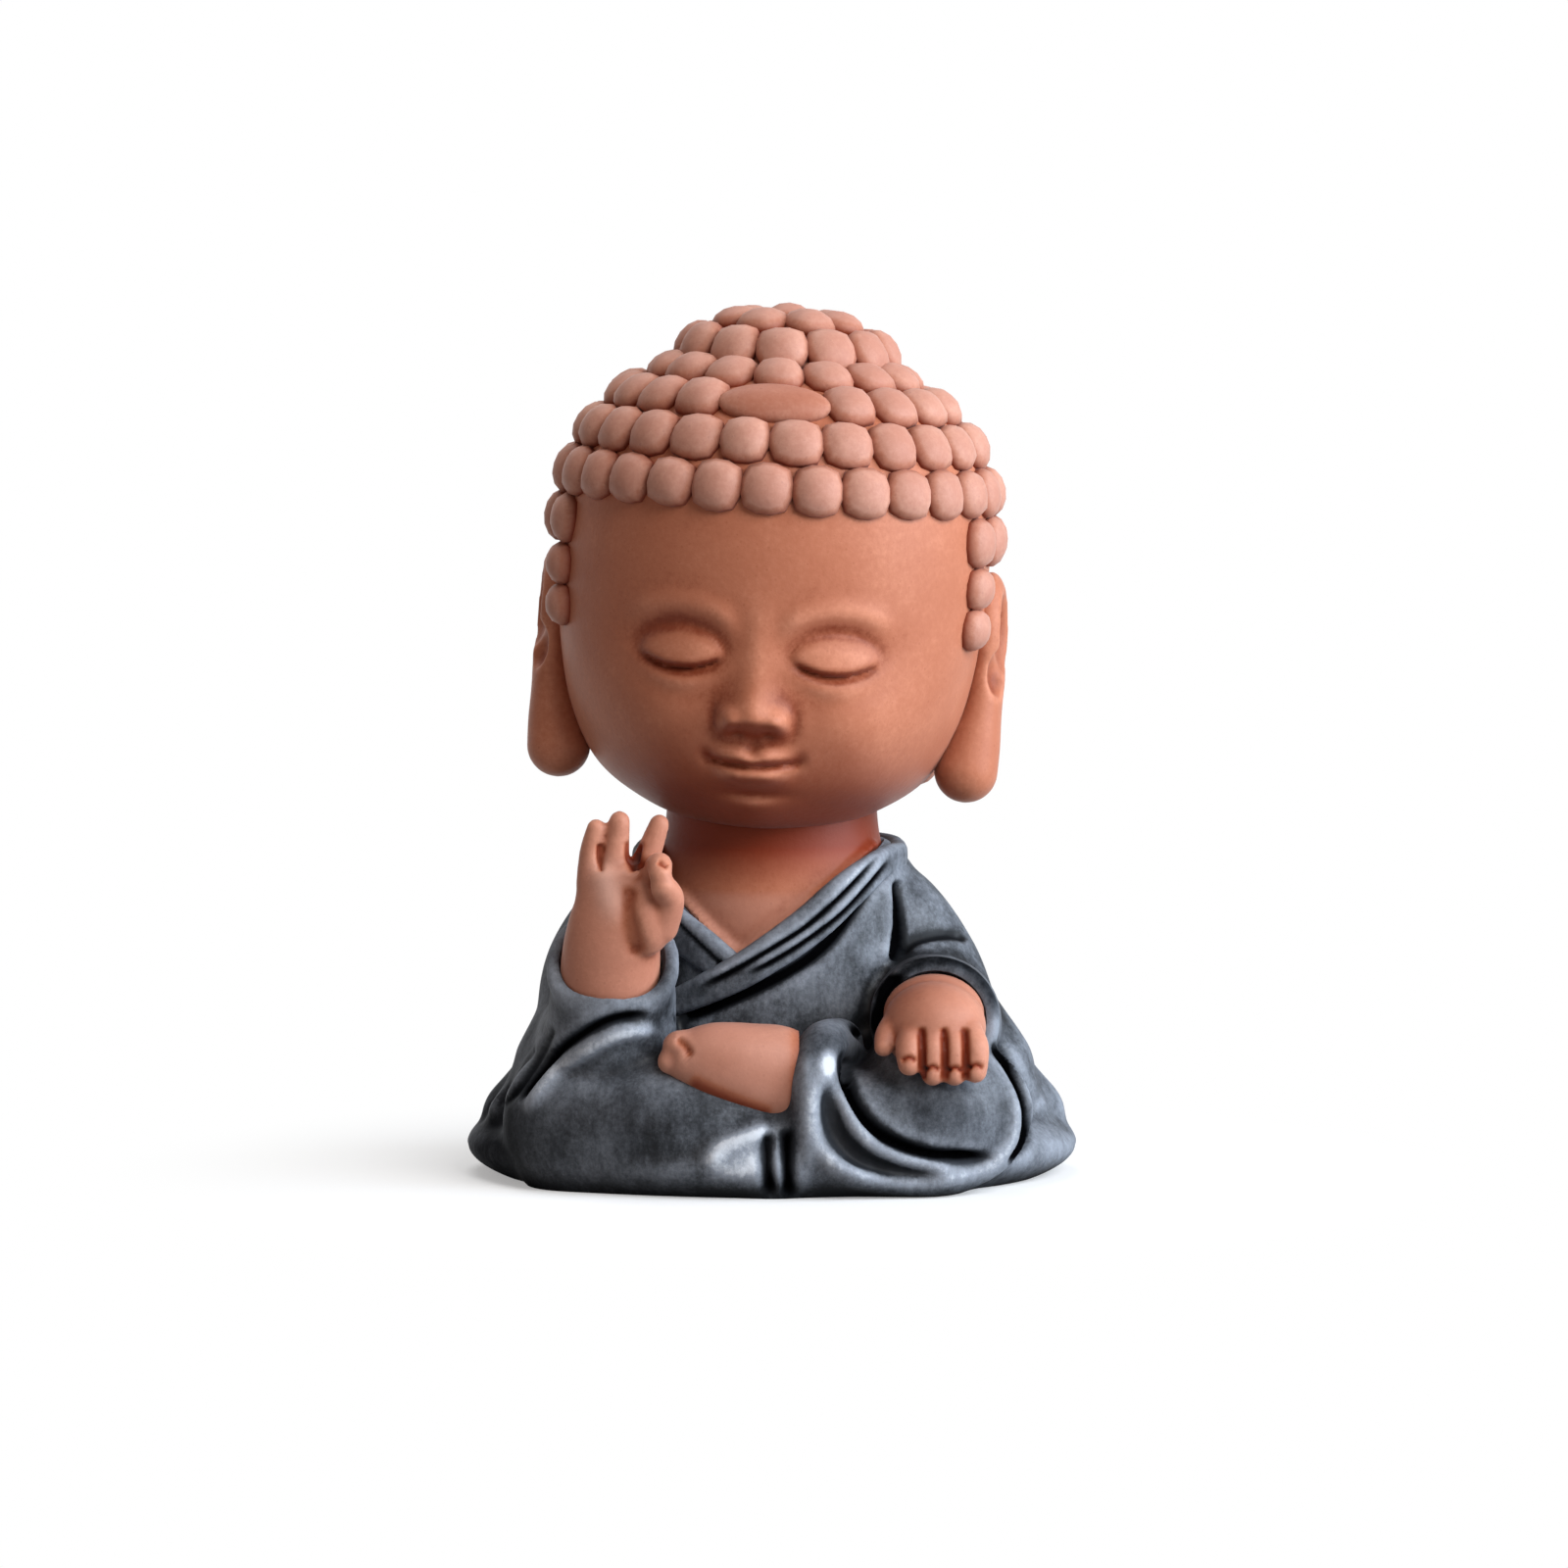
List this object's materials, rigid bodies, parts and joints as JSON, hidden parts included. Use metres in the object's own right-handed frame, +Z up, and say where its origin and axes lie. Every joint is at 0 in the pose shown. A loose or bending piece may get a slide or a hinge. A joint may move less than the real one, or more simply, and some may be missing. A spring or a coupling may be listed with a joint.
{
  "type": "clay buddha figurine",
  "caption": "Small seated clay figure in meditation, bare terracotta head, hands and foot, with a dark slip-glazed robe, for standing on a tray or shelf.",
  "frame": {"origin": "middle of the foot print, on the table top", "axes": "+Z up; the figure faces -Y; its left hand is on the +X side"},
  "size_m": [0.0704, 0.058, 0.1],
  "materials": {
    "slip_glazed_robe": "dark slip glaze, satin, dry-brushed paler on the ridges",
    "bare_clay_skin": "bare fired clay, burnished",
    "bare_clay_hair": "bare fired clay, matt"
  },
  "bodies": {
    "root": {"robe_body": "slip_glazed_robe", "neck_and_chest": "bare_clay_skin", "left_sleeve": "slip_glazed_robe", "right_sleeve": "slip_glazed_robe", "right_hand": "bare_clay_skin", "left_hand": "bare_clay_skin", "left_foot": "bare_clay_skin", "knee_fold": "slip_glazed_robe", "hanging_fold": "slip_glazed_robe", "lap_fold": "slip_glazed_robe", "outer_lapel": "slip_glazed_robe", "inner_lapel": "slip_glazed_robe", "head": "bare_clay_skin", "right_ear": "bare_clay_skin", "left_ear": "bare_clay_skin", "hair_row_1": "bare_clay_hair", "hair_row_2": "bare_clay_hair", "hair_row_3": "bare_clay_hair", "hair_row_4": "bare_clay_hair", "hair_jewel": "bare_clay_hair", "crown_row_1": "bare_clay_hair", "crown_row_2": "bare_clay_hair", "crown_row_3": "bare_clay_hair", "nape_row_1": "bare_clay_hair", "nape_row_2": "bare_clay_hair", "nape_row_3": "bare_clay_hair", "nape_row_4": "bare_clay_hair", "nape_row_5": "bare_clay_hair", "nape_row_6": "bare_clay_hair", "right_temple_curls": "bare_clay_hair", "left_temple_curls": "bare_clay_hair"}
  },
  "joints": []
}
